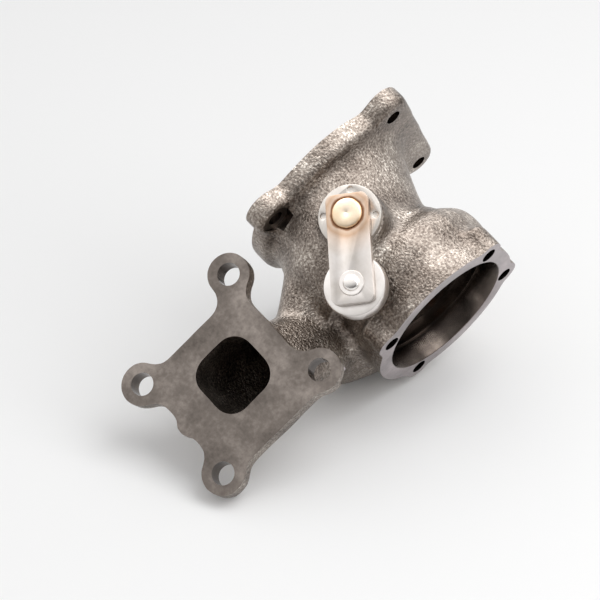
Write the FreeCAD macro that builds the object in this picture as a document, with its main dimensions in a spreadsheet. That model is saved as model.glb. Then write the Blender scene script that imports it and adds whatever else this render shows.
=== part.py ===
import FreeCAD, Part
import Sketcher
import math
import os

# A turbocharger's turbine housing with its wastegate, in millimetres.
# The turbine axis is Z and the origin is the mouth of the centre bore, where the bearing housing
# bolts on. -Y is the way the inlet flange faces, and +X points to the side of the inlet.
# Levels are counted up from the machined outlet face, so each piece's Placement sets it down by
# the height of the housing.
Vector = FreeCAD.Vector

doc = FreeCAD.newDocument("TurbineHousing")
sheet = doc.addObject("Spreadsheet::Sheet", "Sizes")

SIZES = {
    # Faces of the casting
    "housing_height": 79.0,
    "inlet_face_reach": 52.0,
    "neck_joint_reach": 22.0,
    "neck_joint_x": 38.8,
    "chamber_joint_level": 25.0,
    "waist_joint_level": 43.5,
    "volute_joint_level": 52.5,
    "centre_joint_level": 66.0,
    # Outlet flange and opening
    "outlet_flange_thick": 9.0,
    "outlet_radius": 27.0,
    "outlet_left": 8.0,
    "outlet_right": 0.1,
    "outlet_rim_width": 11.5,
    "outlet_lug_radius": 9.0,
    "outlet_web_radius": 15.3,
    "outlet_web_inset": 19.8,
    "outlet_edge_fillet": 2.5,
    "outlet_hole_dia": 6.8,
    "outlet_spot_dia": 13.0,
    "outlet_spot_depth": 1.0,
    "outlet_spot_height": 6.0,
    # Outlet chamber
    "chamber_wall": 4.5,
    "chamber_bulge_radius": 30.0,
    "chamber_bulge_x": 9.0,
    "chamber_bulge_reach": 7.0,
    "chamber_roof_level": 42.2,
    "chamber_top_level": 52.2,
    "waist_radius": 25.5,
    "waist_root_radius": 28.5,
    # Centre flange
    "centre_bore_dia": 59.0,
    "centre_bore_depth": 10.5,
    "ledge_width": 1.3,
    "ledge_height": 4.5,
    "centre_rim_width": 6.8,
    "centre_flange_thick": 7.0,
    "centre_lug_radius": 6.7,
    "centre_lug_height": 12.0,
    "centre_hole_circle": 34.0,
    "centre_hole_dia": 6.8,
    "centre_hole_depth": 10.5,
    "centre_hole_near_angle": 46.5,
    "centre_hole_far_angle": 150.0,
    # Turbine wheel space
    "wheel_space_radius": 25.0,
    "throat_radius": 19.0,
    "shroud_height": 8.5,
    "nozzle_level": 54.5,
    "nozzle_width": 7.0,
    # Volute
    "volute_level": 50.5,
    "volute_rise": 8.5,
    "volute_wall": 4.8,
    "volute_start_radius": 47.0,
    "volute_end_radius": 21.5,
    "volute_end_section": 14.8,
    "passage_start_radius": 11.5,
    "passage_end_radius": 4.5,
    "volute_taper": 4.0,
    "core_radius": 35.5,
    # Inlet flange
    "inlet_x": 76.2,
    "inlet_level": 50.2,
    "inlet_port": 27.2,
    "inlet_port_corner": 8.3,
    "inlet_flange_thick": 9.0,
    "inlet_lug_radius": 9.0,
    "inlet_hole_dia": 9.5,
    "inlet_plate_left": 24.5,
    "inlet_plate_right": 28.4,
    "inlet_plate_low": 24.3,
    "inlet_plate_high": 30.0,
    "inlet_bump_width": 9.0,
    "inlet_bump_right": 31.0,
    "inlet_bump_low": 1.5,
    "inlet_bump_high": 4.5,
    "inlet_edge_fillet": 7.0,
    # Wastegate port and its seat
    "port_x": 24.0,
    "port_reach": 14.0,
    "port_radius": 6.0,
    "seat_radius": 8.5,
    "seat_level": 38.5,
    "port_elbow_level": 43.2,
    "port_boss_start_x": 30.0,
    "port_boss_start_level": 30.5,
    "port_boss_end_x": 50.0,
    "port_boss_end_level": 45.5,
    # Wastegate shaft, its bush and its boss
    "pivot_x": -1.0,
    "pivot_level": 34.8,
    "shaft_dia": 8.0,
    "shaft_play": 0.05,
    "bush_barrel_radius": 7.5,
    "bush_flange_radius": 13.0,
    "bush_flange_thick": 3.0,
    "boss_radius": 13.5,
    "stake_radius": 1.3,
    "stake_depth": 0.6,
    "stake_circle": 10.8,
    # Outer lever with its disc
    "lever_gap": 0.5,
    "lever_thick": 3.2,
    "lever_width": 17.4,
    "lever_centres": 28.8,
    "lever_angle": 50.8,
    "lever_end": 8.2,
    "lever_corner": 3.0,
    "weld_radius": 5.9,
    "weld_rise": 1.3,
    "weld_round": 1.0,
    "disc_radius": 12.8,
    "disc_thick": 7.6,
    "disc_edge": 0.9,
    "disc_clearance": 2.1,
    "pin_radius": 2.6,
    "pin_head_radius": 3.4,
    "pin_head_rise": 1.7,
    "pin_head_round": 1.4,
    "washer_radius": 5.1,
    "washer_thick": 0.8,
    # Swing arm and valve inside the chamber
    "hub_radius": 6.2,
    "hub_length": 9.6,
    "hub_gap": 0.5,
    "hub_offset": 14.0,
    "hub_spot_depth": 1.5,
    "arm_thick": 5.0,
    "arm_root_radius": 2.8,
    "arm_eye_radius": 6.0,
    "flap_radius": 8.4,
    "flap_thick": 3.0,
    "stem_radius": 2.8,
    "stem_play": 0.1,
    "stem_head_radius": 3.8,
    "stem_head_rise": 1.5,
    "valve_washer_radius": 5.2,
    "valve_washer_thick": 1.2,
    "valve_play": 0.2,
}

# Hole centres of the two flanges whose patterns are not regular: the inlet's as steps from the
# middle of its port, along +X and +Z, and the outlet's from the turbine axis, along +X and +Y.
INLET_HOLES = [(-26.3, -31.8), (29.3, -24.6), (29.3, 26.2), (-26.3, 24.0)]
OUTLET_HOLES = [(-42.6, -22.3), (-39.2, 35.7), (22.0, 32.0), (21.3, -33.3)]


# Sections of the swelling parts of the casting, and shares of their length or width.
CHAMBER_STEPS = 8
CHAMBER_SWUNG_BY = 0.75
NECK_STEPS = 10
NECK_DELAY = 1.3
NECK_TURNED_BY = 0.6
VOLUTE_STEPS = 22
VOLUTE_TURN = 330.0
NEARLY_ROUND = 0.49
TOLERANCE = 0.001

for row, (name, value) in enumerate(SIZES.items(), start=1):
    sheet.set("A%d" % row, name)
    sheet.set("B%d" % row, str(value))
    sheet.setAlias("B%d" % row, name)
doc.recompute()


def size(name):
    return float(getattr(sheet, name))


def polar(radius, angle):
    return radius * math.cos(math.radians(angle)), radius * math.sin(math.radians(angle))


def eased(share):
    # From 0 to 1 with a level start and end.
    share = min(share, 1.0)
    return share * share * (3 - 2 * share)


FAR = 3 * (size("housing_height") + size("inlet_x"))


# Outlines and simple solids for the casting
def capsule(one, one_radius, two, two_radius):
    # The outline pulled tight round two circles.
    dx = two[0] - one[0]
    dy = two[1] - one[1]
    heading = math.atan2(dy, dx)
    lean = math.acos((one_radius - two_radius) / math.hypot(dx, dy))

    def at(centre, radius, angle):
        return Vector(centre[0] + radius * math.cos(angle), centre[1] + radius * math.sin(angle), 0)

    one_up = at(one, one_radius, heading + lean)
    one_back = at(one, one_radius, heading + math.pi)
    one_down = at(one, one_radius, heading - lean)
    two_up = at(two, two_radius, heading + lean)
    two_front = at(two, two_radius, heading)
    two_down = at(two, two_radius, heading - lean)
    return Part.Wire([
        Part.Arc(one_up, one_back, one_down).toShape(),
        Part.LineSegment(one_down, two_down).toShape(),
        Part.Arc(two_down, two_front, two_up).toShape(),
        Part.LineSegment(two_up, one_up).toShape(),
    ])


def rounded_square(side, corner):
    half = side / 2
    flat = half - corner
    bend = flat + corner * math.cos(math.pi / 4)
    edges = []
    for turn in range(4):
        arc = Part.Arc(Vector(half, flat, 0), Vector(bend, bend, 0), Vector(flat, half, 0)).toShape()
        line = Part.LineSegment(Vector(flat, half, 0), Vector(-flat, half, 0)).toShape()
        for edge in (arc, line):
            edge.rotate(Vector(0, 0, 0), Vector(0, 0, 1), 90 * turn)
            edges.append(edge)
    return Part.Wire(edges)


def skinned(wires):
    # A solid whose skin runs straight from each outline to the next one of the same make-up.
    faces = [Part.Face(wires[0]), Part.Face(wires[-1])]
    for one, two in zip(wires, wires[1:]):
        faces += [Part.makeRuledSurface(a, b) for a, b in zip(one.Edges, two.Edges)]
    shell = Part.makeShell(faces)
    shell.sewShape()
    solid = Part.makeSolid(Part.Shell(shell.Faces))
    if solid.Volume < 0:
        solid.reverse()
    return solid


def extruded(wire, low, high):
    face = Part.Face(wire)
    face.translate(Vector(0, 0, low))
    return face.extrude(Vector(0, 0, high - low))


def column(radius, x, y, low, high):
    return Part.makeCylinder(radius, high - low, Vector(x, y, low))


def crossways(radius, x, level, start, reach):
    # A cylinder along Y.
    return Part.makeCylinder(radius, reach - start, Vector(x, start, level), Vector(0, 1, 0))


def joined(shapes):
    return shapes[0].multiFuse(shapes[1:]).removeSplitter()


# Casting: outlet flange
def outlet_flange():
    thick = size("outlet_flange_thick")
    rim = size("outlet_radius") + size("outlet_rim_width")
    lug = size("outlet_lug_radius")
    left = (-size("outlet_left"), 0.0)
    right = (size("outlet_right"), 0.0)
    plates = [extruded(capsule(left, rim, right, rim), 0, thick)]
    plates.append(extruded(capsule(OUTLET_HOLES[0], lug, OUTLET_HOLES[1], lug), 0, thick))
    for x, y in OUTLET_HOLES:
        side = left if x < 0 else right
        toward = math.degrees(math.atan2(y - side[1], x - side[0]))
        step = polar(rim - size("outlet_web_inset"), toward)
        root = (side[0] + step[0], side[1] + step[1])
        plates.append(extruded(capsule((x, y), lug, root, size("outlet_web_radius")), 0, thick))
    plate = joined(plates)
    top = [e for e in plate.Edges if abs(e.BoundBox.ZMin - thick) < TOLERANCE]
    return plate.makeFillet(size("outlet_edge_fillet"), top)


# Casting: the funnel from the outlet opening to the turbine's throat, wide at the wastegate
def chamber(shrink, top):
    roof = size("chamber_roof_level")
    waist = size("waist_radius")
    rim = size("outlet_radius") + size("chamber_wall")
    bulge = size("chamber_bulge_radius")
    left = -size("outlet_left")
    right = size("outlet_right")
    wires = []
    for level in [roof * step / CHAMBER_STEPS for step in range(CHAMBER_STEPS)] + [top]:
        drawn = eased(level / roof)
        swung = eased(level / roof / CHAMBER_SWUNG_BY)
        one = (left * (1 - drawn), 0.0)
        two = (right + (size("chamber_bulge_x") - right) * swung, -size("chamber_bulge_reach") * swung)
        wire = capsule(one, rim + (waist - rim) * drawn - shrink, two, rim + (bulge - rim) * swung - shrink)
        wire.translate(Vector(0, 0, level))
        wires.append(wire)
    return skinned(wires)


# Casting: the bent neck behind the inlet flange and the volute, as one tube
def ring(side, corner, place, turn):
    outline = rounded_square(side, corner)
    outline.rotate(Vector(0, 0, 0), Vector(1, 0, 0), 90)
    outline.rotate(Vector(0, 0, 0), Vector(0, 0, 1), turn)
    outline.translate(place)
    return outline


def neck_rings(wall):
    # The square of the port turns round on its way to where the volute starts.
    face = size("inlet_face_reach")
    side = size("inlet_port") + 2 * wall
    corner = size("inlet_port_corner") + wall
    round_side = 2 * (size("passage_start_radius") + wall)
    dx = size("volute_start_radius") - size("inlet_x")
    dz = size("volute_level") - size("inlet_level")
    for step in range(NECK_STEPS):
        along = step / NECK_STEPS
        share = along ** NECK_DELAY
        across = eased(share)
        slope = 6 * (share - share * share) * NECK_DELAY * along ** (NECK_DELAY - 1)
        turn = math.degrees(math.atan(-slope * dx / face)) * NECK_TURNED_BY
        wide = side + (round_side - side) * across
        bend = corner + (NEARLY_ROUND * wide - corner) * across
        place = Vector(size("inlet_x") + dx * across, -face * (1 - along), size("inlet_level") + dz * across)
        yield ring(wide, bend, place, turn)


def volute_stations(reach_end):
    # The gas comes in at angle 0, going to +Y, and the section shrinks round the wheel.
    for step in range(VOLUTE_STEPS):
        left = (1 - step / (VOLUTE_STEPS - 1)) ** size("volute_taper")
        reach = reach_end + (size("volute_start_radius") - reach_end) * left
        level = size("volute_level") + size("volute_rise") * (1 - left)
        yield VOLUTE_TURN * step / (VOLUTE_STEPS - 1), reach, level, left


def tube(wall, reach_end, radius_end):
    radius_start = size("passage_start_radius") + wall
    rings = list(neck_rings(wall))
    for angle, reach, level, left in volute_stations(reach_end):
        across = 2 * (radius_end + (radius_start - radius_end) * left)
        x, y = polar(reach, angle)
        rings.append(ring(across, NEARLY_ROUND * across, Vector(x, y, level), angle))
    return skinned(rings)


def nozzle():
    # The slot that leads the gas from the spiral passage to the wheel.
    low = size("nozzle_level")
    high = low + size("nozzle_width")
    wires = []
    inner = size("throat_radius") / 2
    for angle, reach, _, _ in volute_stations(size("wheel_space_radius")):
        points = [Vector(r, 0, z) for r, z in ((inner, low), (reach, low), (reach, high), (inner, high))]
        wire = Part.makePolygon(points + points[:1])
        wire.rotate(Vector(0, 0, 0), Vector(0, 0, 1), angle)
        wires.append(wire)
    return skinned(wires)


# Casting: inlet flange
def inlet_plate():
    face = size("inlet_face_reach")
    lug = size("inlet_lug_radius")
    thick = size("inlet_flange_thick")
    middle = Vector(size("inlet_x"), -face, size("inlet_level"))
    low = Vector(-size("inlet_plate_left"), 0, -size("inlet_plate_low"))
    high = Vector(size("inlet_plate_right"), thick, size("inlet_plate_high"))
    plate = Part.makeBox(high.x - low.x, thick, high.z - low.z, middle + low)
    bump_low = Vector(size("inlet_bump_right") - size("inlet_bump_width"), 0, -size("inlet_bump_low"))
    bump_height = size("inlet_bump_high") + size("inlet_bump_low")
    bump = Part.makeBox(size("inlet_bump_width"), thick, bump_height, middle + bump_low)
    lugs = [crossways(lug, middle.x + x, middle.z + z, -face, thick - face) for x, z in INLET_HOLES]
    shape = joined([plate, bump] + lugs)
    uprights = [e for e in shape.Edges if abs(e.BoundBox.YLength - thick) < TOLERANCE and not e.Closed]
    return shape.makeFillet(size("inlet_edge_fillet"), [e for e in uprights if beside_lug(e, middle, lug)])


def beside_lug(edge, middle, lug):
    # Whether an upright edge is where a lug's round meets a straight side.
    x = edge.BoundBox.XMin - middle.x
    z = edge.BoundBox.ZMin - middle.z
    return any(abs(math.hypot(x - hole_x, z - hole_z) - lug) < TOLERANCE for hole_x, hole_z in INLET_HOLES)


# Casting: centre flange and the body round the wheel
def centre_holes():
    near = size("centre_hole_near_angle")
    far = size("centre_hole_far_angle")
    return [polar(size("centre_hole_circle"), angle) for angle in (near, far, -far, -near)]


def centre_body():
    top = size("housing_height")
    rim = size("centre_bore_dia") / 2 + size("centre_rim_width")
    shapes = [
        column(size("core_radius"), 0, 0, size("volute_level") + size("volute_rise"), top),
        column(size("waist_root_radius"), 0, 0, size("chamber_roof_level"), top),
        column(rim, 0, 0, top - size("centre_flange_thick"), top),
    ]
    for x, y in centre_holes():
        shapes.append(column(size("centre_lug_radius"), x, y, top - size("centre_lug_height"), top))
    return shapes


def wheel_space():
    # The bore with its two ledges, then the space that narrows to the throat.
    top = size("housing_height")
    bore = size("centre_bore_dia") / 2
    ledge = size("ledge_width")
    first = top - size("centre_bore_depth")
    second = first - size("ledge_height")
    shroud = size("nozzle_level")
    throat = size("throat_radius")
    wheel = size("wheel_space_radius")
    low = shroud - size("shroud_height")
    points = [(0, top), (bore, top), (bore, first), (bore - ledge, first), (bore - ledge, second),
              (wheel, second), (wheel, shroud)]
    corners = [Vector(r, 0, z) for r, z in points]
    edges = [Part.LineSegment(a, b).toShape() for a, b in zip(corners, corners[1:])]
    slope = math.sqrt(0.5)
    middle = Vector(wheel - slope * (wheel - throat), 0, low + slope * (shroud - low))
    edges.append(Part.Arc(Vector(wheel, 0, shroud), middle, Vector(throat, 0, low)).toShape())
    foot = size("chamber_roof_level") - size("chamber_wall")
    ends = [Vector(throat, 0, low), Vector(throat, 0, foot), Vector(0, 0, foot)]
    edges += [Part.LineSegment(a, b).toShape() for a, b in zip(ends, ends[1:] + corners[:1])]
    return Part.Face(Part.Wire(edges)).revolve(Vector(0, 0, 0), Vector(0, 0, 1), 360)


def wastegate_port():
    # Straight up from the seat, then slanting to the middle of the passage where the volute starts.
    x = size("port_x")
    y = -size("port_reach")
    elbow = Vector(x, y, size("port_elbow_level"))
    run = Vector(size("volute_start_radius"), y, size("volute_level")) - elbow
    radius = size("port_radius")
    straight = column(radius, x, y, size("seat_level"), elbow.z)
    slant = Part.makeCylinder(radius, run.Length, elbow, run)
    return straight.multiFuse([Part.makeSphere(radius, elbow), slant])


def port_boss():
    # The thick place of the casting that carries the port between the chamber and the neck.
    radius = size("port_radius") + size("chamber_wall")
    start = Vector(size("port_boss_start_x"), -size("port_reach"), size("port_boss_start_level"))
    end = Vector(size("port_boss_end_x"), -size("port_reach"), size("port_boss_end_level"))
    run = end - start
    rod = Part.makeCylinder(radius, run.Length, start, run)
    return rod.multiFuse([Part.makeSphere(radius, start), Part.makeSphere(radius, end)])


def boss_reach():
    # Far enough for the disc on the lever to clear the end of the volute.
    disc_back = size("volute_end_radius") + size("volute_end_section") + size("disc_clearance")
    return disc_back + size("disc_thick") - size("lever_gap") - size("bush_flange_thick")


def bush_boss():
    reach = boss_reach()
    root = -size("chamber_bulge_radius")
    return crossways(size("boss_radius"), size("pivot_x"), size("pivot_level"), -reach, root)


# Casting: solid outside, passages, drilled holes
def casting():
    top = size("housing_height")
    face = size("inlet_face_reach")
    roof = size("chamber_roof_level")
    behind = Part.makeBox(2 * FAR, 2 * FAR, FAR, Vector(-FAR, -face, 0))
    runner = tube(size("volute_wall"), size("volute_end_radius"), size("volute_end_section"))
    swells = [chamber(0, size("chamber_top_level")), runner]
    flats = [inlet_plate(), bush_boss(), port_boss(), outlet_flange()]
    outside = joined(swells + flats + centre_body()).common(behind)

    seat_top = roof + size("chamber_wall")
    seat = column(size("seat_radius"), size("port_x"), -size("port_reach"), size("seat_level"), seat_top)
    passage = tube(0, size("wheel_space_radius"), size("passage_end_radius"))
    inside = joined([passage, nozzle(), wheel_space()])
    hollow = outside.cut(chamber(size("chamber_wall"), roof).cut(seat))
    hollow = hollow.cut(inside).cut(wastegate_port())

    drills = []
    bore = size("bush_barrel_radius")
    through = size("hub_gap") + size("hub_spot_depth") - size("port_reach") - size("hub_offset")
    drills.append(crossways(bore, size("pivot_x"), size("pivot_level"), -boss_reach(), through))
    for x, z in INLET_HOLES:
        drills.append(crossways(size("inlet_hole_dia") / 2, size("inlet_x") + x, size("inlet_level") + z,
                                -face, size("inlet_flange_thick") - face))
    for x, y in centre_holes():
        drills.append(column(size("centre_hole_dia") / 2, x, y, top - size("centre_hole_depth"), top))
    back = size("outlet_flange_thick") - size("outlet_spot_depth")
    for x, y in OUTLET_HOLES:
        drills.append(column(size("outlet_hole_dia") / 2, x, y, 0, back))
        drills.append(column(size("outlet_spot_dia") / 2, x, y, back, back + size("outlet_spot_height")))
    return hollow.cut(Part.makeCompound(drills))


def keep_feature(label, shape):
    feature = doc.addObject("Part::Feature", label)
    feature.Label = label
    feature.Shape = shape
    feature.Placement = FreeCAD.Placement(Vector(0, 0, -size("housing_height")), FreeCAD.Rotation())
    return feature


def cast_nodes():
    # The casting is one piece on the real housing. It is divided on flat joints where the neck
    # leaves the volute and at four levels, so that every length stays open inside.
    whole = casting()
    neck_zone = Part.makeBox(FAR, FAR, FAR, Vector(size("neck_joint_x"), -size("neck_joint_reach") - FAR, 0))
    body = whole.cut(neck_zone)
    nodes = [keep_feature("casting_inlet", whole.common(neck_zone))]
    joints = [size(name + "_joint_level") for name in ("chamber", "waist", "volute", "centre")]
    lengths = ("outlet", "chamber", "volute", "crown", "centre")
    for name, low, high in zip(lengths, [0] + joints, joints + [size("housing_height")]):
        level_zone = Part.makeBox(2 * FAR, 2 * FAR, high - low, Vector(-FAR, -FAR, low))
        nodes.append(keep_feature("casting_" + name, body.common(level_zone)))
    return nodes


# Sketches and features of the small parts
def new_body(label):
    body = doc.addObject("PartDesign::Body", label)
    body.Label = label
    return body


def new_sketch(body, name, role, level="0"):
    sketch = body.newObject("Sketcher::SketchObject", name)
    plane = next(f for f in body.Origin.OriginFeatures if f.Role == role)
    sketch.AttachmentSupport = [(plane, "")]
    sketch.MapMode = "FlatFace"
    sketch.setExpression("AttachmentOffset.Base.z", level)
    return sketch


def drive(sketch, kind, target, expression):
    # A dimension of the sketch that follows an expression of the sheet's sizes.
    value = float(sketch.evalExpression(expression))
    index = sketch.addConstraint(Sketcher.Constraint(kind, *target, value))
    sketch.setExpression("Constraints[%d]" % index, expression)


def place_point(sketch, edge, end, across, up):
    origin = (-1, 1, edge, end)
    if across == "0":
        sketch.addConstraint(Sketcher.Constraint("PointOnObject", edge, end, -2))
    else:
        drive(sketch, "DistanceX", origin, across)
    if up == "0":
        sketch.addConstraint(Sketcher.Constraint("PointOnObject", edge, end, -1))
    else:
        drive(sketch, "DistanceY", origin, up)


def polygon(sketch, corners):
    points = [Vector(float(sketch.evalExpression(a)), float(sketch.evalExpression(b)), 0) for a, b in corners]
    count = len(points)
    for step in range(count):
        sketch.addGeometry(Part.LineSegment(points[step], points[(step + 1) % count]), False)
    for step in range(count):
        sketch.addConstraint(Sketcher.Constraint("Coincident", step, 2, (step + 1) % count, 1))
    for step, (across, up) in enumerate(corners):
        place_point(sketch, step, 1, across, up)


def circle(sketch, across, up, radius):
    x, y, reach = [float(sketch.evalExpression(text)) for text in (across, up, radius)]
    edge = sketch.addGeometry(Part.Circle(Vector(x, y, 0), Vector(0, 0, 1), reach), False)
    place_point(sketch, edge, 3, across, up)
    drive(sketch, "Radius", (edge,), radius)


def turned(label, corners):
    # A body of revolution about its own Z, from corners as (radius, height).
    body = new_body(label)
    sketch = new_sketch(body, label + "_profile", "XZ_Plane")
    polygon(sketch, corners)
    turn = body.newObject("PartDesign::Revolution", label + "_turn")
    turn.Profile = sketch
    turn.ReferenceAxis = (sketch, ["V_Axis"])
    turn.Angle = 360
    doc.recompute()
    return body


def pad(body, sketch, name, length, backward=False):
    feature = body.newObject("PartDesign::Pad", name)
    feature.Profile = sketch
    feature.setExpression("Length", length)
    feature.Reversed = backward
    doc.recompute()
    return feature


def pocket(body, sketch, name, length="", backward=False):
    # Without a length it goes right through.
    before = body.Shape.Volume
    feature = body.newObject("PartDesign::Pocket", name)
    feature.Profile = sketch
    feature.Reversed = backward
    if length:
        feature.setExpression("Length", length)
    else:
        feature.Type = "ThroughAll"
        feature.Midplane = True
    doc.recompute()
    if not body.Shape.Volume < before:
        raise ValueError(name + " cuts nothing")
    return feature


def fillet(body, name, radius, wanted):
    # Rounds the edges of the body's last feature that the test picks.
    base = body.Tip
    names = ["Edge%d" % (n + 1) for n, edge in enumerate(base.Shape.Edges) if wanted(edge)]
    feature = body.newObject("PartDesign::Fillet", name)
    feature.Base = (base, names)
    feature.setExpression("Radius", radius)
    doc.recompute()
    return feature


def across_pivot(body, reach, along="0"):
    # Lays a piece with its own Z along -Y, at a reach in front of the turbine axis, from the
    # shaft's axis or as far along the lever as asked.
    body.Placement.Rotation = FreeCAD.Rotation(Vector(1, 0, 0), 90)
    body.setExpression("Placement.Base.x", "Sizes.pivot_x + (%s) * cos(Sizes.lever_angle * 1deg)" % along)
    body.setExpression("Placement.Base.y", "-(%s)" % reach)
    rise = "(%s) * sin(Sizes.lever_angle * 1deg)" % along
    body.setExpression("Placement.Base.z", "Sizes.pivot_level + %s - Sizes.housing_height" % rise)


# How far in front of the turbine axis the pieces on the shaft lie, from the lever inwards.
DISC_BACK = "(Sizes.volute_end_radius + Sizes.volute_end_section + Sizes.disc_clearance)"
LEVER_BACK = "(%s + Sizes.disc_thick)" % DISC_BACK
LEVER_FRONT = "(%s + Sizes.lever_thick)" % LEVER_BACK
BUSH_FRONT = "(%s - Sizes.lever_gap)" % LEVER_BACK
HUB_START = "(Sizes.port_reach + Sizes.hub_offset)"
HUB_END = "(%s - Sizes.hub_length)" % HUB_START
BUSH_END = "(%s + Sizes.hub_gap)" % HUB_START
BUSH_LENGTH = "(%s - %s)" % (BUSH_FRONT, BUSH_END)


# Wastegate shaft and its bush
def shaft_bush():
    bore = "Sizes.shaft_dia / 2 + Sizes.shaft_play"
    step = BUSH_LENGTH + " - Sizes.bush_flange_thick"
    body = turned("shaft_bush", [
        (bore, "0"),
        ("Sizes.bush_barrel_radius", "0"),
        ("Sizes.bush_barrel_radius", step),
        ("Sizes.bush_flange_radius", step),
        ("Sizes.bush_flange_radius", BUSH_LENGTH),
        (bore, BUSH_LENGTH),
    ])
    sketch = new_sketch(body, "stake", "XY_Plane", BUSH_LENGTH)
    circle(sketch, "0", "Sizes.stake_circle", "Sizes.stake_radius")
    stake = pocket(body, sketch, "stake_mark", "Sizes.stake_depth")
    pattern = body.newObject("PartDesign::PolarPattern", "stake_marks")
    pattern.Originals = [stake]
    pattern.Axis = (next(f for f in body.Origin.OriginFeatures if f.Role == "Z_Axis"), [""])
    pattern.Angle = 360
    pattern.Occurrences = 4
    body.Tip = pattern
    doc.recompute()
    across_pivot(body, BUSH_END)
    return body


def wastegate_shaft():
    shaft = doc.addObject("Part::Cylinder", "wastegate_shaft")
    shaft.Label = "wastegate_shaft"
    shaft.setExpression("Radius", "Sizes.shaft_dia / 2")
    shaft.setExpression("Height", "%s - %s" % (LEVER_FRONT, HUB_END))
    across_pivot(shaft, HUB_END)
    return shaft


def weld_bead(label, reach, outward):
    body = turned(label, [
        ("0", "0"),
        ("Sizes.weld_radius", "0"),
        ("Sizes.weld_radius", "Sizes.weld_rise - Sizes.weld_round"),
        ("Sizes.weld_radius - Sizes.weld_round", "Sizes.weld_rise"),
        ("0", "Sizes.weld_rise"),
    ])
    across_pivot(body, reach)
    if not outward:
        body.Placement.Rotation = FreeCAD.Rotation(Vector(1, 0, 0), -90)
    return body


# Outer lever with the disc that its pin rivets to it
def outer_lever():
    body = new_body("outer_lever")
    sketch = new_sketch(body, "lever_outline", "XY_Plane")
    far_end = "Sizes.lever_centres + Sizes.lever_end"
    half = "Sizes.lever_width / 2"
    polygon(sketch, [
        ("-Sizes.lever_end", "-" + half),
        (far_end, "-" + half),
        (far_end, half),
        ("-Sizes.lever_end", half),
    ])
    pad(body, sketch, "lever_plate", "Sizes.lever_thick")
    fillet(body, "lever_corners", "Sizes.lever_corner", lambda edge: edge.BoundBox.ZLength > TOLERANCE)
    holes = new_sketch(body, "lever_holes", "XY_Plane")
    circle(holes, "0", "0", "Sizes.shaft_dia / 2")
    circle(holes, "Sizes.lever_centres", "0", "Sizes.pin_radius")
    pocket(body, holes, "lever_bores")
    across_pivot(body, LEVER_BACK)
    swing = FreeCAD.Rotation(Vector(0, 1, 0), -size("lever_angle"))
    body.Placement.Rotation = swing.multiply(body.Placement.Rotation)
    return body


def lever_disc():
    body = turned("lever_disc", [
        ("Sizes.pin_radius", "0"),
        ("Sizes.disc_radius", "0"),
        ("Sizes.disc_radius", "Sizes.disc_thick - Sizes.disc_edge"),
        ("Sizes.disc_radius - Sizes.disc_edge", "Sizes.disc_thick"),
        ("Sizes.pin_radius", "Sizes.disc_thick"),
    ])
    across_pivot(body, DISC_BACK, "Sizes.lever_centres")
    return body


def lever_washer():
    body = turned("lever_washer", [
        ("Sizes.pin_radius", "0"),
        ("Sizes.washer_radius", "0"),
        ("Sizes.washer_radius", "Sizes.washer_thick"),
        ("Sizes.pin_radius", "Sizes.washer_thick"),
    ])
    across_pivot(body, LEVER_FRONT, "Sizes.lever_centres")
    return body


def lever_pin():
    shank = "Sizes.disc_thick + Sizes.lever_thick + Sizes.washer_thick"
    top = shank + " + Sizes.pin_head_rise"
    body = turned("lever_pin", [
        ("0", "0"),
        ("Sizes.pin_radius", "0"),
        ("Sizes.pin_radius", shank),
        ("Sizes.pin_head_radius", shank),
        ("Sizes.pin_head_radius", top + " - Sizes.pin_head_round"),
        ("Sizes.pin_head_radius - Sizes.pin_head_round", top),
        ("0", top),
    ])
    across_pivot(body, DISC_BACK, "Sizes.lever_centres")
    return body


# Swing arm and valve inside the chamber
def swing_arm():
    # Its own origin is on the shaft's axis, at the outer end of the hub.
    body = new_body("swing_arm")
    underside = "Sizes.seat_level - Sizes.flap_thick - Sizes.valve_play - Sizes.arm_thick - Sizes.pivot_level"
    eye_x = "Sizes.port_x - Sizes.pivot_x"
    eye_y = "%s - Sizes.port_reach" % HUB_START
    outline = new_sketch(body, "arm_outline", "XY_Plane", underside)
    arm_capsule(outline, "Sizes.arm_root_radius", eye_x, eye_y, "Sizes.arm_eye_radius")
    pad(body, outline, "arm_plate", "Sizes.arm_thick")
    hub = new_sketch(body, "hub_outline", "XZ_Plane")
    circle(hub, "0", "0", "Sizes.hub_radius")
    pad(body, hub, "hub", "Sizes.hub_length", backward=True)
    bore = new_sketch(body, "hub_bore", "XZ_Plane")
    circle(bore, "0", "0", "Sizes.shaft_dia / 2")
    pocket(body, bore, "shaft_bore")
    eye = new_sketch(body, "eye", "XY_Plane")
    circle(eye, eye_x, eye_y, "Sizes.stem_radius + Sizes.stem_play")
    pocket(body, eye, "stem_bore")
    body.setExpression("Placement.Base.x", "Sizes.pivot_x")
    body.setExpression("Placement.Base.y", "-" + HUB_START)
    body.setExpression("Placement.Base.z", "Sizes.pivot_level - Sizes.housing_height")
    return body


def arm_capsule(sketch, root, eye_x, eye_y, eye_radius):
    # Two arcs, at the hub and about the eye, and the two lines that touch both.
    values = [float(sketch.evalExpression(e)) for e in (root, eye_x, eye_y, eye_radius)]
    wire = capsule((0, values[0]), values[0], (values[1], values[2]), values[3])
    for edge in wire.Edges:
        curve = edge.Curve
        if isinstance(curve, Part.Circle):
            sketch.addGeometry(Part.ArcOfCircle(curve, edge.FirstParameter, edge.LastParameter), False)
        else:
            ends = [edge.valueAt(at) for at in (edge.FirstParameter, edge.LastParameter)]
            sketch.addGeometry(Part.LineSegment(*ends), False)
    for first in range(4):
        match_ends(sketch, first, (first + 1) % 4)
    place_point(sketch, 0, 3, "0", root)
    place_point(sketch, 2, 3, eye_x, eye_y)
    drive(sketch, "Radius", (0,), root)
    drive(sketch, "Radius", (2,), eye_radius)


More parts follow.
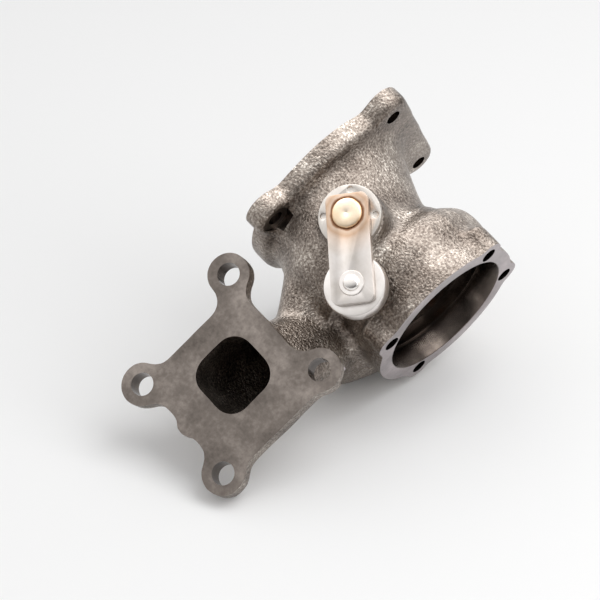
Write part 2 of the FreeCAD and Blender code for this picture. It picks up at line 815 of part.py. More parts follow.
def match_ends(sketch, one, two):
    # Tangent where the two edges meet.
    pairs = [(a, b) for a in (1, 2) for b in (1, 2)]
    gaps = [(sketch.getPoint(one, a) - sketch.getPoint(two, b)).Length for a, b in pairs]
    a, b = pairs[gaps.index(min(gaps))]
    sketch.addConstraint(Sketcher.Constraint("Tangent", one, a, two, b))


def at_port(body, level):
    body.setExpression("Placement.Base.x", "Sizes.port_x")
    body.setExpression("Placement.Base.y", "-Sizes.port_reach")
    body.setExpression("Placement.Base.z", "%s - Sizes.housing_height" % level)


STEM_LENGTH = "(Sizes.stem_head_rise + Sizes.valve_washer_thick + Sizes.arm_thick + 2 * Sizes.valve_play)"
STEM_FOOT = "(Sizes.seat_level - Sizes.flap_thick - %s)" % STEM_LENGTH


def valve_flap():
    full = "%s + Sizes.flap_thick" % STEM_LENGTH
    body = turned("valve_flap", [
        ("0", "0"),
        ("Sizes.stem_head_radius", "0"),
        ("Sizes.stem_head_radius", "Sizes.stem_head_rise"),
        ("Sizes.stem_radius", "Sizes.stem_head_rise"),
        ("Sizes.stem_radius", STEM_LENGTH),
        ("Sizes.flap_radius", STEM_LENGTH),
        ("Sizes.flap_radius", full),
        ("0", full),
    ])
    at_port(body, STEM_FOOT)
    return body


def valve_washer():
    body = turned("valve_washer", [
        ("Sizes.stem_radius", "0"),
        ("Sizes.valve_washer_radius", "0"),
        ("Sizes.valve_washer_radius", "Sizes.valve_washer_thick"),
        ("Sizes.stem_radius", "Sizes.valve_washer_thick"),
    ])
    at_port(body, "%s + Sizes.stem_head_rise" % STEM_FOOT)
    return body


# Build everything, look at each piece, then write the files
parts = cast_nodes() + [
    shaft_bush(),
    wastegate_shaft(),
    weld_bead("shaft_weld", LEVER_FRONT, outward=True),
    weld_bead("arm_weld", HUB_END, outward=False),
    outer_lever(),
    lever_disc(),
    lever_washer(),
    lever_pin(),
    swing_arm(),
    valve_flap(),
    valve_washer(),
]
doc.recompute()
for thing in doc.Objects:
    if "Invalid" in thing.State or "Error" in thing.State:
        raise ValueError("%s failed: %s" % (thing.Label, thing.State))
os.makedirs("parts", exist_ok=True)
for piece in parts:
    if piece.Shape.isNull() or not piece.Shape.isValid() or len(piece.Shape.Solids) != 1:
        raise ValueError("%s is not one valid solid" % piece.Label)
    piece.Shape.exportStep("parts/%s.step" % piece.Label)
    print(piece.Label, round(piece.Shape.Volume))
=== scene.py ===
import bmesh
import bpy
import math
from mathutils import Matrix, Vector, noise


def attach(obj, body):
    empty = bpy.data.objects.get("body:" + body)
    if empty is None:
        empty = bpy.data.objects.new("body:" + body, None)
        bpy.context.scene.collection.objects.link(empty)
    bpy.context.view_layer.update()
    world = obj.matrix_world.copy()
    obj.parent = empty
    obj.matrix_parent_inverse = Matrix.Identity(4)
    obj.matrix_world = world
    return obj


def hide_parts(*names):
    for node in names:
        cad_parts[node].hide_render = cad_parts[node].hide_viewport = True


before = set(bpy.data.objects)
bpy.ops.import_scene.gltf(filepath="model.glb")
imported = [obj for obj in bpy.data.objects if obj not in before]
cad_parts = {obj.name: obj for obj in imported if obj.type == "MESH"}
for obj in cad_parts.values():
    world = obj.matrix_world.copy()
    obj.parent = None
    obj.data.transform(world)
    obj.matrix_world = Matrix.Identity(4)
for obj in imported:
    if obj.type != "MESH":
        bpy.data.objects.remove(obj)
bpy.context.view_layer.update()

scene = bpy.context.scene

# View: the housing lies tipped over on a corner of its inlet flange and on its volute, and is
# looked down on from in front with a long lens, so its own upright axis points down to the left.
LOOK_AT = Vector((0.0381, -0.0181, -0.0437))
LOOK_DISTANCE = 0.8276
LOOK_AZIMUTH = math.radians(-2.845)
LOOK_ELEVATION = math.radians(20.304)
LOOK_ROLL = math.radians(136.005)
LENS = 120.0
SENSOR = 36.0
SEEN_FROM = 0.05
SEEN_TO = 20.0

look_back = Vector((math.sin(LOOK_AZIMUTH) * math.cos(LOOK_ELEVATION),
                    -math.cos(LOOK_AZIMUTH) * math.cos(LOOK_ELEVATION), math.sin(LOOK_ELEVATION)))
level_right = Vector((0, 0, 1)).cross(look_back).normalized()
look_right = Matrix.Rotation(LOOK_ROLL, 3, look_back) @ level_right
look_up = look_back.cross(look_right)
camera = bpy.data.objects.new("camera", bpy.data.cameras.new("camera"))
camera.data.lens = LENS
camera.data.sensor_width = SENSOR
camera.data.clip_start = SEEN_FROM
camera.data.clip_end = SEEN_TO
axes = Matrix((look_right, look_up, look_back)).transposed().to_4x4()
camera.matrix_world = Matrix.Translation(LOOK_AT + LOOK_DISTANCE * look_back) @ axes
scene.collection.objects.link(camera)
scene.camera = camera
scene.view_settings.view_transform = "Standard"

# Floor: a plain sweep of matt white card, level in the picture. It is seen from its upper side
# only, so that the housing can be looked at from every side.
FLOOR_PITCH = math.radians(33.0)
FLOOR_HALF = 4.0
FLOOR_COLOUR = "#f4f4f4"

floor_up = look_up * math.cos(FLOOR_PITCH) + look_back * math.sin(FLOOR_PITCH)
floor_side = look_right
floor_far = floor_up.cross(floor_side)
floor_level = min(v.co.dot(floor_up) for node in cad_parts.values() for v in node.data.vertices)


def linear(colour):
    """The linear values of an sRGB hex colour."""
    parts = [int(colour[at:at + 2], 16) / 255 for at in (1, 3, 5)]
    return [part / 12.92 if part <= 0.04045 else ((part + 0.055) / 1.055) ** 2.4 for part in parts] + [1.0]


def add(tree, kind, inputs=None, stops=(), **settings):
    """Adds a node with its settings. An input is a value, another node's output, or another node,
    which stands for its first output in use. Stops are a colour ramp's positions and colours."""
    node = tree.nodes.new(kind)
    for name, value in settings.items():
        setattr(node, name, value)
    for key, value in (inputs or {}).items():
        if isinstance(value, bpy.types.Node):
            value = next(output for output in value.outputs if output.enabled)
        if isinstance(value, bpy.types.NodeSocket):
            tree.links.new(value, node.inputs[key])
        else:
            node.inputs[key].default_value = value
    for _ in stops[2:]:
        node.color_ramp.elements.new(0.5)
    for index, (position, colour) in enumerate(stops):
        node.color_ramp.elements[index].position = position
        node.color_ramp.elements[index].color = linear(colour)
    return node


def new_tree(owner):
    """The empty node tree of a material or a world."""
    owner.use_nodes = True
    owner.node_tree.nodes.clear()
    return owner.node_tree


def new_object(name, mesh):
    piece = bpy.data.objects.new(name, mesh)
    scene.collection.objects.link(piece)
    return piece


# Card: quite matt, so it shows a soft shadow and no reflection.
sweep = bpy.data.materials.new("matt_white_card")
tree = new_tree(sweep)
card = add(tree, "ShaderNodeBsdfDiffuse", {"Color": linear(FLOOR_COLOUR)})
clear = add(tree, "ShaderNodeBsdfTransparent")
side = add(tree, "ShaderNodeNewGeometry").outputs["Backfacing"]
upper = add(tree, "ShaderNodeMixShader", {0: side, 1: card, 2: clear})
add(tree, "ShaderNodeOutputMaterial", {"Surface": upper})
corners = [floor_up * floor_level + FLOOR_HALF * (a * floor_side + b * floor_far)
           for a, b in ((-1, -1), (-1, 1), (1, 1), (1, -1))]
mesh = bpy.data.meshes.new("floor")
mesh.from_pydata(corners, [], [(0, 1, 2, 3)])
if mesh.polygons[0].normal.dot(floor_up) < 0:
    mesh.flip_normals()
mesh.materials.append(sweep)
floor = new_object("floor", mesh)

# Light: a wide softbox overhead, a weaker one low on the right, and a pale room all round. What
# the metal shows of the room is dark low down in front and bright high behind, with a window.
BACKDROP = 0.905
ROOM_LIGHT = 0.7
SHOWN_DARK = 0.12
SHOWN_BRIGHT = 1.55
WINDOW = 3.2


def softbox(name, direction, distance, width, watts):
    """A square area lamp that faces the housing from a direction given as right, up, near."""
    lamp = bpy.data.lights.new(name, "AREA")
    lamp.shape = "SQUARE"
    lamp.size = width
    lamp.energy = watts
    holder = bpy.data.objects.new(name, lamp)
    away = (direction[0] * floor_side + direction[1] * floor_up - direction[2] * floor_far).normalized()
    holder.rotation_mode = "QUATERNION"
    holder.rotation_quaternion = away.to_track_quat("Z", "Y")
    holder.location = LOOK_AT + away * distance
    scene.collection.objects.link(holder)


softbox("key", (0.45, 1.0, 0.1), 1.2, 0.9, 5.4)
softbox("fill", (1.0, 0.6, 0.6), 1.4, 0.9, 4.0)

room = bpy.data.worlds.new("room")
scene.world = room
tree = new_tree(room)
path = add(tree, "ShaderNodeLightPath")
ways = add(tree, "ShaderNodeTexCoord").outputs["Generated"]
bright_side = (floor_up * 0.8 + floor_far * 0.6 - floor_side * 0.25).normalized()
facing = add(tree, "ShaderNodeVectorMath", {0: ways, 1: bright_side}, operation="DOT_PRODUCT")
toward = facing.outputs["Value"]
gradient = add(tree, "ShaderNodeMapRange", {"Value": toward, "From Min": -0.35, "From Max": 0.75,
                                            "To Min": SHOWN_DARK, "To Max": SHOWN_BRIGHT})
window = add(tree, "ShaderNodeMapRange", {"Value": toward, "From Min": 0.82, "From Max": 0.97,
                                          "To Max": WINDOW})
shown = add(tree, "ShaderNodeMath", {0: gradient, 1: window}, operation="ADD")
lit = add(tree, "ShaderNodeMix", {"Factor": path.outputs["Is Glossy Ray"], "A": ROOM_LIGHT, "B": shown})
seen = add(tree, "ShaderNodeMath", {0: path.outputs["Is Camera Ray"],
                                    1: path.outputs["Is Transmission Ray"]}, operation="MAXIMUM")
strength = add(tree, "ShaderNodeMix", {"Factor": seen, "A": lit, "B": BACKDROP})
glow = add(tree, "ShaderNodeBackground", {"Color": linear("#ffffff"), "Strength": strength})
add(tree, "ShaderNodeOutputWorld", {"Surface": glow})

# Casting: one sand casting in heat-resistant iron, shot blasted, so it is soft at every edge. The
# skin is drawn over the solids with rounded inner corners, and the machined faces, the bore and
# the holes are then cut into it. Sizes are in millimetres, and an outlet hole's third one is the
# radius that its back is spot faced to.
MM = 0.001
SAME_POINT = 0.002
SKIN_GRID = 1.1
INNER_ROUND = 2.6
SKIN_SOFTENING = 5
SWELL = 0.35
SWELL_LENGTH = 13.0
STOCK = 3.0
HEIGHT = 79.0
INLET_REACH = 52.0
INLET_THICK = 9.0
INLET_HOLE = 4.75
INLET_HOLES = [(49.9, -60.6), (105.5, -53.4), (105.5, -2.6), (49.9, -4.8)]
CENTRE_HOLE_CIRCLE = 34.0
CENTRE_HOLE_ANGLES = (46.5, 150.0, -150.0, -46.5)
THREAD = 3.4
THREAD_DEPTH = 10.5
PLUG_SLACK = 0.25
OUTLET_THICK = 9.0
OUTLET_HOLES = [(-42.6, -22.3, THREAD), (-39.2, 35.7, THREAD), (22.0, 32.0, 6.5), (21.3, -33.3, 6.5)]
SPOT_LEVEL = 8.0
SPOT_FILLED = 6.9
SPOT_OVERLAP = 0.1
BORE_START = 5.0
CENTRE_BORE = 29.5
CHAMFER = 0.4
BORE_DEPTH = 10.5
LEDGE = 28.2
LEDGE_DEPTH = 15.0
WHEEL_SPACE = 25.0
NOZZLE = 31.0
NOZZLE_START = 17.5
NOZZLE_DEPTH = 24.5
THROAT = 19.0
SHROUD_DEPTH = 33.0
THROAT_DEPTH = 41.3
SHROUD_ANGLES = range(60, -15, -15)
SHROUD = [(WHEEL_SPACE - (WHEEL_SPACE - THROAT) * math.cos(math.radians(angle)),
           (SHROUD_DEPTH - NOZZLE_DEPTH) * math.sin(math.radians(angle)) - SHROUD_DEPTH)
          for angle in SHROUD_ANGLES]
BORE = [(0, BORE_START), (CENTRE_BORE + CHAMFER, BORE_START), (CENTRE_BORE + CHAMFER, 0),
        (CENTRE_BORE, -CHAMFER), (CENTRE_BORE, -BORE_DEPTH), (LEDGE, -BORE_DEPTH), (LEDGE, -LEDGE_DEPTH),
        (WHEEL_SPACE, -LEDGE_DEPTH), (WHEEL_SPACE, -NOZZLE_START), (NOZZLE, -NOZZLE_START),
        (NOZZLE, -NOZZLE_DEPTH), (WHEEL_SPACE, -NOZZLE_DEPTH), *SHROUD, (THROAT, -THROAT_DEPTH),
        (0, -THROAT_DEPTH)]
BORE_FILLED = ((30.5, -24.0, 3.0), (20.0, -36.0, -24.0))
PIVOT = Vector((-1.0, 0.0, -44.2)) * MM
OUTWARD = Vector((0, -1, 0))
UP = Vector((0, 0, 1))
BOSS_FRONT = 42.5
BOSS_SPOT = 14.0
BOSS_CLEARED = 8.0
BUSH_HOLE = 7.5
BUSH_HOLE_DEPTH = 16.5
ROUND_SIDES = 96


def merged(names):
    """The solids of some nodes in one bmesh, with the corners that coincide made one."""
    bm = bmesh.new()
    for name in names:
        bm.from_mesh(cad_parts[name].data)
    bmesh.ops.remove_doubles(bm, verts=bm.verts, dist=SAME_POINT * MM)
    return bm


def rod(radius, start, end):
    """The profile of a plain cylinder."""
    return [(0, start), (radius, start), (radius, end), (0, end)]


def turned(bm, profile, place, flats=0, sides=0):
    """Adds a closed body of revolution from (radius, height) corners in millimetres, with one
    finish on its flats and one on its sides."""
    rings = []
    for radius, height in profile:
        spokes = range(ROUND_SIDES if radius else 1)
        points = [Matrix.Rotation(2 * math.pi * n / ROUND_SIDES, 3, "Z") @ Vector((radius, 0, height))
                  for n in spokes]
        rings.append([bm.verts.new(place @ (point * MM)) for point in points])
    for one, two, start, end in zip(rings, rings[1:], profile, profile[1:]):
        for n in range(ROUND_SIDES):
            m = (n + 1) % ROUND_SIDES
            corners = (one[n % len(one)], one[m % len(one)], two[m % len(two)], two[n % len(two)])
            face = bm.faces.new(list(dict.fromkeys(corners)))
            face.material_index = flats if start[1] == end[1] else sides


def placed(point, toward):
    """The place of a body of revolution that starts at a point and whose axis points one way."""
    return Matrix.Translation(point) @ toward.to_track_quat("Z", "Y").to_matrix().to_4x4()


def finished(name, bm):
    mesh = bpy.data.meshes.new(name)
    bm.to_mesh(mesh)
    bm.free()
    return new_object(name, mesh)


def bake(piece):
    """Turns a piece with its modifiers into a plain mesh."""
    shape = piece.evaluated_get(bpy.context.evaluated_depsgraph_get())
    mesh = bpy.data.meshes.new_from_object(shape)
    piece.modifiers.clear()
    piece.data = mesh


def cut(piece, bm):
    """Takes closed bodies out of a piece, and keeps the finish of each of their faces."""
    bmesh.ops.recalc_face_normals(bm, faces=bm.faces)
    tool = finished("tool", bm)
    for finish in casting_finishes:
        tool.data.materials.append(finish)
    step = piece.modifiers.new("cut", "BOOLEAN")
    step.operation = "DIFFERENCE"
    step.solver = "MANIFOLD"
    step.object = tool
    bake(piece)
    bpy.data.objects.remove(tool)


# The faces that are machined later stand proud by their stock, and the holes and the bore are
# filled, so that the skin runs over them.
casting_nodes = [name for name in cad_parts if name.startswith("casting_")]
bm = merged(casting_nodes)
for axis, level, step in ((1, -INLET_REACH, -STOCK), (2, 0.0, STOCK), (2, -HEIGHT, -STOCK)):
    flat = [f for f in bm.faces if all(abs(v.co[axis] / MM - level) < 0.005 for v in f.verts)]
    grown = bmesh.ops.extrude_face_region(bm, geom=flat)["geom"]
    move = Vector((0, 0, 0))
    move[axis] = step * MM
    bmesh.ops.translate(bm, vec=move, verts=[v for v in grown if isinstance(v, bmesh.types.BMVert)])
    bmesh.ops.delete(bm, geom=[f for f in flat if f.is_valid], context="FACES_ONLY")

# Each hole has a place on its face, a profile that starts outside, and the depth that is filled.
holes = []
for x, z in INLET_HOLES:
    place = placed(Vector((x, -INLET_REACH, z)) * MM, -OUTWARD)
    holes.append((place, rod(INLET_HOLE, -STOCK, INLET_THICK + STOCK), INLET_THICK))
for angle in CENTRE_HOLE_ANGLES:
    x = CENTRE_HOLE_CIRCLE * math.cos(math.radians(angle))
    y = CENTRE_HOLE_CIRCLE * math.sin(math.radians(angle))
    holes.append((placed(Vector((x, y, 0)) * MM, -UP), rod(THREAD, -STOCK, THREAD_DEPTH), THREAD_DEPTH))
for x, y, spot in OUTLET_HOLES:
    place = placed(Vector((x, y, -HEIGHT)) * MM, UP)
    if spot > THREAD:
        profile = [(0, -STOCK), (THREAD, -STOCK), (THREAD, SPOT_LEVEL), (spot, SPOT_LEVEL),
                   (spot, OUTLET_THICK + STOCK), (0, OUTLET_THICK + STOCK)]
        holes.append((place, profile, SPOT_LEVEL))
    else:
        holes.append((place, rod(THREAD, -STOCK, OUTLET_THICK + STOCK), OUTLET_THICK))
        turned(bm, rod(SPOT_FILLED, SPOT_LEVEL - SPOT_OVERLAP, OUTLET_THICK), place)
for place, profile, depth in holes:
    turned(bm, rod(profile[1][0] + PLUG_SLACK, -STOCK, depth), place)
for radius, low, high in BORE_FILLED:
    turned(bm, rod(radius, low, high), Matrix())
skin = finished("cast_skin", bm)

# Swelling the body and shrinking it again closes the sharp inner corners with rounds.
for kind, amount in (("REMESH", SKIN_GRID), ("DISPLACE", INNER_ROUND), ("REMESH", SKIN_GRID),
                     ("DISPLACE", -INNER_ROUND), ("REMESH", SKIN_GRID), ("SMOOTH", SKIN_SOFTENING)):
    step = skin.modifiers.new(kind.lower(), kind)
    if kind == "REMESH":
        step.mode = "VOXEL"
        step.voxel_size = amount * MM
    elif kind == "DISPLACE":
        step.strength = amount * MM
        step.mid_level = 0.0
    else:
        step.iterations = amount
bake(skin)
moved = [v.co + v.normal * SWELL * MM * noise.noise(v.co / (SWELL_LENGTH * MM)) for v in skin.data.vertices]
skin.data.vertices.foreach_set("co", [part for point in moved for part in point])

# The faced finish on the centre face has a pale colour that is a painted reflection of the white floor.
CAST_PAINTED_GLINTS, MILLED, TURNED, DRILLED, FACED_PAINTED_REFLECTION = range(5)
casting_finishes = [bpy.data.materials.new(f"cast_iron_{way}")
                    for way in ("shot_blasted_painted_glints", "milled", "turned", "drilled", "faced_painted_reflection")]
skin.data.materials.clear()
for finish in casting_finishes:
    skin.data.materials.append(finish)

# The cutter takes the stock off the inlet face, the outlet face and the centre face.
MILLED_OFF = (((-30, -70, -77), (130, -INLET_REACH, 12)), ((-70, -70, -90), (70, 70, -HEIGHT)),
              ((-48, -48, 0), (48, 48, 10)))
bm = bmesh.new()
for low, high in MILLED_OFF:
    for vert in bmesh.ops.create_cube(bm, size=1.0)["verts"]:
        vert.co = Vector([low[n] + (vert.co[n] + 0.5) * (high[n] - low[n]) for n in range(3)]) * MM
for face in bm.faces:
    face.material_index = FACED_PAINTED_REFLECTION if abs(face.calc_center_median().z) < 0.1 * MM else MILLED
cut(skin, bm)
bm = bmesh.new()
turned(bm, BORE, Matrix(), TURNED, TURNED)
cut(skin, bm)
bm = bmesh.new()
for place, profile, _ in holes:
    turned(bm, profile, place, MILLED, DRILLED)
boss = [(0, -BOSS_CLEARED), (BOSS_SPOT, -BOSS_CLEARED), (BOSS_SPOT, 0), (BUSH_HOLE, 0),
        (BUSH_HOLE, BUSH_HOLE_DEPTH), (0, BUSH_HOLE_DEPTH)]
turned(bm, boss, placed(PIVOT + OUTWARD * BOSS_FRONT * MM, -OUTWARD), MILLED, DRILLED)
cut(skin, bm)
for face in skin.data.polygons:
    face.use_smooth = face.material_index not in (MILLED, FACED_PAINTED_REFLECTION)
skin.data.set_sharp_from_angle(angle=math.radians(50))
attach(skin, "housing")
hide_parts(*casting_nodes)

# Most of a noise's values lie in this span.
NOISE_SPAN = {"From Min": 0.3, "From Max": 0.7}


def per(length):
    """How many times a length in millimetres goes into a metre."""
    return 1000.0 / length


# Shot-blasted iron: grit of about a millimetre breaks the light into bright points, and the same grit
# lightens the colour in pale, nearly white points, which are painted glints. Broad patches of thin
# scale are duller and darker.
tree = new_tree(casting_finishes[CAST_PAINTED_GLINTS])
where = add(tree, "ShaderNodeTexCoord").outputs["Object"]
grit_and_painted_glints = add(tree, "ShaderNodeTexNoise", {"Vector": where, "Scale": per(1.0), "Detail": 2.0,
                                        "Roughness": 0.55})
fine = add(tree, "ShaderNodeTexNoise", {"Vector": where, "Scale": per(0.7), "Detail": 2.0,
                                        "Roughness": 0.55})
scale = add(tree, "ShaderNodeTexNoise", {"Vector": where, "Scale": per(17.0), "Detail": 3.0,
                                         "Roughness": 0.55})
broad = add(tree, "ShaderNodeMapRange", {"Value": scale, **NOISE_SPAN, "To Max": 0.45})
# The grit's share of the tone puts painted glints into the colour, up to the near-white top of the ramp.
small = add(tree, "ShaderNodeMapRange", {"Value": grit_and_painted_glints, **NOISE_SPAN, "To Max": 0.55})
tone = add(tree, "ShaderNodeMath", {0: broad, 1: small}, operation="ADD")
colour = add(tree, "ShaderNodeValToRGB", {"Fac": tone},
             [(0.05, "#4a413b"), (0.4, "#7f756d"), (0.7, "#a79d94"), (0.95, "#ece4da")])
dull = add(tree, "ShaderNodeMapRange", {"Value": scale, **NOISE_SPAN, "To Min": 0.3, "To Max": 0.42})
relief = add(tree, "ShaderNodeBump", {"Height": fine, "Strength": 0.5, "Distance": 0.25 * MM})
relief = add(tree, "ShaderNodeBump", {"Height": grit_and_painted_glints, "Strength": 1.0, "Distance": 0.5 * MM,
                                      "Normal": relief})
shine = add(tree, "ShaderNodeBsdfPrincipled", {"Base Color": colour, "Roughness": dull, "Metallic": 1.0,
                                               "Normal": relief})
add(tree, "ShaderNodeOutputMaterial", {"Surface": shine})

# Milled and faced iron: flat and even, with the stains that a washed casting keeps. The centre
# face is cut last, and its pale lilac-grey tones are a painted reflection of the white floor.
for finish, tones in ((MILLED, ("#5a534e", "#756d67", "#958c85")),
                      (FACED_PAINTED_REFLECTION, ("#958e8f", "#aaa2a3", "#c3babb"))):
    tree = new_tree(casting_finishes[finish])
    where = add(tree, "ShaderNodeTexCoord").outputs["Object"]
    stains = add(tree, "ShaderNodeTexNoise", {"Vector": where, "Scale": per(18.0), "Detail": 5.0,
                                              "Roughness": 0.55})
    specks = add(tree, "ShaderNodeTexNoise", {"Vector": where, "Scale": per(1.6), "Detail": 4.0,
                                              "Roughness": 0.55})
    broad = add(tree, "ShaderNodeMapRange", {"Value": stains, **NOISE_SPAN, "To Max": 0.7})
    small = add(tree, "ShaderNodeMapRange", {"Value": specks, **NOISE_SPAN, "To Max": 0.3})
    tone = add(tree, "ShaderNodeMath", {0: broad, 1: small}, operation="ADD")
    colour = add(tree, "ShaderNodeValToRGB", {"Fac": tone}, list(zip((0.1, 0.5, 0.9), tones)))
    dull = add(tree, "ShaderNodeMapRange", {"Value": stains, **NOISE_SPAN, "To Min": 0.3, "To Max": 0.42})
    relief = add(tree, "ShaderNodeBump", {"Height": specks, "Strength": 0.12, "Distance": 0.1 * MM})
    shine = add(tree, "ShaderNodeBsdfPrincipled", {"Base Color": colour, "Roughness": dull, "Metallic": 1.0,
                                                   "Normal": relief})
    add(tree, "ShaderNodeOutputMaterial", {"Surface": shine})

# Turned and drilled iron: glossy and dark, with the fine rings of the tool. The rings are drawn
# coarser than the real feed, which wouldn't show.
for finish, depth in ((TURNED, 0.5), (DRILLED, 0.2)):
    tree = new_tree(casting_finishes[finish])
    where = add(tree, "ShaderNodeTexCoord").outputs["Object"]
    rings = add(tree, "ShaderNodeTexWave", {"Vector": where, "Scale": per(1.6), "Distortion": 0.6,
                                            "Detail": 1.0}, bands_direction="Z")
    cloud = add(tree, "ShaderNodeTexNoise", {"Vector": where, "Scale": per(9.0), "Detail": 4.0,
                                             "Roughness": 0.55})
    colour = add(tree, "ShaderNodeValToRGB", {"Fac": cloud},
                 [(0.3, "#463f3b"), (0.55, "#645b55"), (0.8, "#8b8178")])
    relief = add(tree, "ShaderNodeBump", {"Height": rings.outputs["Fac"], "Strength": depth,
                                          "Distance": 0.05 * MM})
    shine = add(tree, "ShaderNodeBsdfPrincipled", {"Base Color": colour, "Roughness": 0.22, "Metallic": 1.0,
                                                   "Normal": relief})
    add(tree, "ShaderNodeOutputMaterial", {"Surface": shine})

# Bush: turned from stainless bar, pressed into the boss and staked at four points round its
# flange, which lie between the places where the solid has them. Its edges are slightly broken.
STAKES_TURNED = math.radians(45.0)


def softened(name, node, width):
    """A copy of one CAD node with every sharp edge slightly broken."""
    bm = merged([node])
    bmesh.ops.dissolve_limit(bm, angle_limit=math.radians(1.0), verts=bm.verts, edges=bm.edges)
    piece = finished(name, bm)
    step = piece.modifiers.new("broken_edges", "BEVEL")
    step.width = width * MM
    step.segments = 2
    step.limit_method = "ANGLE"
    step.angle_limit = math.radians(40)
    bake(piece)
    return piece


def dress(piece, finish, body, node):
    """Gives a piece its finish and ties it to what it rides on and stands for."""
    piece.data.materials.clear()
    piece.data.materials.append(finish)
    for face in piece.data.polygons:
        face.use_smooth = True
    piece.data.set_sharp_from_angle(angle=math.radians(35))
    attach(piece, body)
    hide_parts(node)


def steel(name, dark, pale, roughness, grain, tint=()):
    """Steel between two tones, with a fine grain of a given size in millimetres and, if asked, heat
    colours that spread with a ragged edge from the outer weld."""
    finish = bpy.data.materials.new(name)
    tree = new_tree(finish)
    where = add(tree, "ShaderNodeTexCoord").outputs["Object"]
    cloud = add(tree, "ShaderNodeTexNoise", {"Vector": where, "Scale": per(7.0), "Detail": 4.0,
                                             "Roughness": 0.55})
    colour = add(tree, "ShaderNodeValToRGB", {"Fac": cloud}, [(0.3, dark), (0.7, pale)])
    if tint:
        away = add(tree, "ShaderNodeVectorMath", {0: where, 1: WELD_FOOT}, operation="DISTANCE")
        wave = add(tree, "ShaderNodeTexNoise", {"Vector": where, "Scale": per(5.0), "Detail": 3.0,
                                                "Roughness": 0.55})
        stray = add(tree, "ShaderNodeMapRange", {"Value": wave, **NOISE_SPAN, "To Min": -TINT_RAGGED * MM,
                                                 "To Max": TINT_RAGGED * MM})
        ragged = add(tree, "ShaderNodeMath", {0: stray, 1: away.outputs["Value"]}, operation="ADD")
        reach = add(tree, "ShaderNodeMapRange", {"Value": ragged, "From Max": TINT_REACH * MM})
        heat = add(tree, "ShaderNodeValToRGB", {"Fac": reach}, tint)
        colour = add(tree, "ShaderNodeMix", {"Factor": 1.0, "A": colour, "B": heat}, data_type="RGBA",
                     blend_type="MULTIPLY")
    fine = add(tree, "ShaderNodeTexNoise", {"Vector": where, "Scale": per(grain), "Detail": 2.0,
                                            "Roughness": 0.55})
    relief = add(tree, "ShaderNodeBump", {"Height": fine, "Strength": 0.15, "Distance": 0.1 * MM})
    shine = add(tree, "ShaderNodeBsdfPrincipled", {"Base Color": colour, "Roughness": roughness,
                                                   "Metallic": 1.0, "Normal": relief})
    add(tree, "ShaderNodeOutputMaterial", {"Surface": shine})
    return finish


# Turned stainless: satin and pale grey, with no clear reflection.
bush = softened("bush", "shaft_bush", 0.25)
about_pivot = Matrix.Translation(PIVOT) @ Matrix.Rotation(STAKES_TURNED, 4, "Y") @ Matrix.Translation(-PIVOT)
bush.data.transform(about_pivot)
bush_steel = steel("stainless_turned", "#b9b3ad", "#d2ccc5", 0.38, 0.7)
dress(bush, bush_steel, "housing", "shaft_bush")

# Shaft: stainless rod through the bush, welded to the lever outside and to the swing arm inside.
# It is ground, which makes it smooth and a little brighter than its surroundings.
ground_steel = steel("stainless_ground", "#9b958f", "#b8b2ab", 0.25, 0.5)
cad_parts["wastegate_shaft"].data.materials[0] = ground_steel

# Welds: each shaft end is melted over into a low smooth button with a small crater in the middle.
# The metal is cream, with straw heat colours towards a brown edge.
LEVER_FRONT = 49.2
WELD_FOOT = PIVOT + OUTWARD * LEVER_FRONT * MM
WELD = [(0, 0), (6.3, 0), (6.3, 0.25), (6.1, 0.6), (5.7, 0.9), (5.0, 1.12), (3.5, 1.26), (0.7, 1.3),
        (0.4, 1.1), (0, 1.0)]
TINT_REACH = 30.0
TINT_RAGGED = 0.35


def lathed(name, profile, foot):
    """A body of revolution that stands out from a point towards the front."""
    bm = bmesh.new()
    turned(bm, profile, placed(foot, OUTWARD))
    bmesh.ops.remove_doubles(bm, verts=bm.verts, dist=SAME_POINT * MM)
    bmesh.ops.recalc_face_normals(bm, faces=bm.faces)
    return finished(name, bm)


weld_metal = steel("weld_straw_tinted", "#e9d6bb", "#fbeedd", 0.42, 1.2,
                   [(0.0, "#ffffff"), (0.19, "#fffaf4"), (0.208, "#e6c8a8"), (0.215, "#9a6c50")])
dress(lathed("weld_button", WELD, WELD_FOOT), weld_metal, "spindle", "shaft_weld")
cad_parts["arm_weld"].data.materials[0] = weld_metal

# Lever: a flat stainless link, blanked from sheet and tumbled, so its edges are rounded and its
# face is satin. The weld has burnt a brown ring and a tan cloud into its upper end.
lever_steel = steel("stainless_tumbled", "#cfc8c1", "#e4deda", 0.36, 0.9,
                    [(0.0, "#6b4630"), (0.215, "#7a5640"), (0.235, "#b08a6e"), (0.25, "#ecd8c6"),
                     (0.3, "#dcc0a8"), (0.36, "#efe0d3"), (0.46, "#f9f2ec"), (0.6, "#ffffff")])
dress(softened("lever_link", "outer_lever", 0.45), lever_steel, "spindle", "outer_lever")

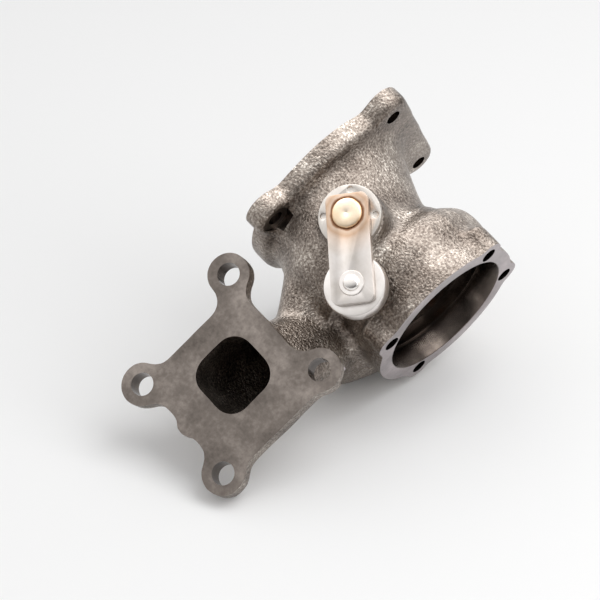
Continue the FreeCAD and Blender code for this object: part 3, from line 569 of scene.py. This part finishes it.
# Disc: turned stainless, riveted to the lever's free end. Its face steps down round the lever's
# end, and it is polished, so it is nearly white.
LEVER_CENTRES = 28.8
LEVER_ANGLE = math.radians(50.8)
DISC_BACK = 38.4
RIVET_RADIUS = 2.6
DISC = [(RIVET_RADIUS, 0), (12.4, 0), (12.8, 0.4), (12.8, 6.2), (12.5, 6.7), (11.8, 6.9), (6.9, 6.9),
        (6.9, 7.6), (RIVET_RADIUS, 7.6), (RIVET_RADIUS, 0)]
along_lever = Vector((math.cos(LEVER_ANGLE), 0, math.sin(LEVER_ANGLE)))
disc_axis = PIVOT + along_lever * LEVER_CENTRES * MM
disc_foot = disc_axis + OUTWARD * DISC_BACK * MM
bright_steel = steel("stainless_polished", "#dcd6d1", "#efeae6", 0.3, 0.8)
dress(lathed("lever_end_disc", DISC, disc_foot), bright_steel, "spindle", "lever_disc")

# Washer and rivet: a thin stainless washer under a rivet that holds the disc to the lever. The
# rivet's head is peened to a smooth dome, which shows the light as one bright spot.
WASHER = [(RIVET_RADIUS, 0), (5.1, 0), (5.1, 0.5), (4.85, 0.8), (RIVET_RADIUS, 0.8), (RIVET_RADIUS, 0)]
SHANK = 11.6
HEAD_RADIUS = 3.45
HEAD_RISE = 1.7
washer = lathed("rivet_washer", WASHER, disc_axis + OUTWARD * LEVER_FRONT * MM)
dress(washer, bright_steel, "spindle", "lever_washer")
dome = [(HEAD_RADIUS * math.cos(math.radians(a)), SHANK + HEAD_RISE * math.sin(math.radians(a)))
        for a in range(0, 90, 10)]
RIVET = [(0, 0), (RIVET_RADIUS, 0), (RIVET_RADIUS, SHANK), *dome, (0, SHANK + HEAD_RISE)]
rivet_steel = steel("stainless_peened", "#e2dcd7", "#f4f0ec", 0.22, 1.4)
dress(lathed("rivet", RIVET, disc_foot), rivet_steel, "spindle", "lever_pin")

# Swing arm, valve and its washer: cast in heat-resistant steel, the arm welded to the shaft inside
# the outlet and the valve riveted loosely to it. They are dull and darker than the outside.
valve_steel = steel("cast_heat_steel", "#5f5852", "#7d756d", 0.5, 1.1)
for name in ("swing_arm", "valve_flap", "valve_washer"):
    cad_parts[name].data.materials[0] = valve_steel
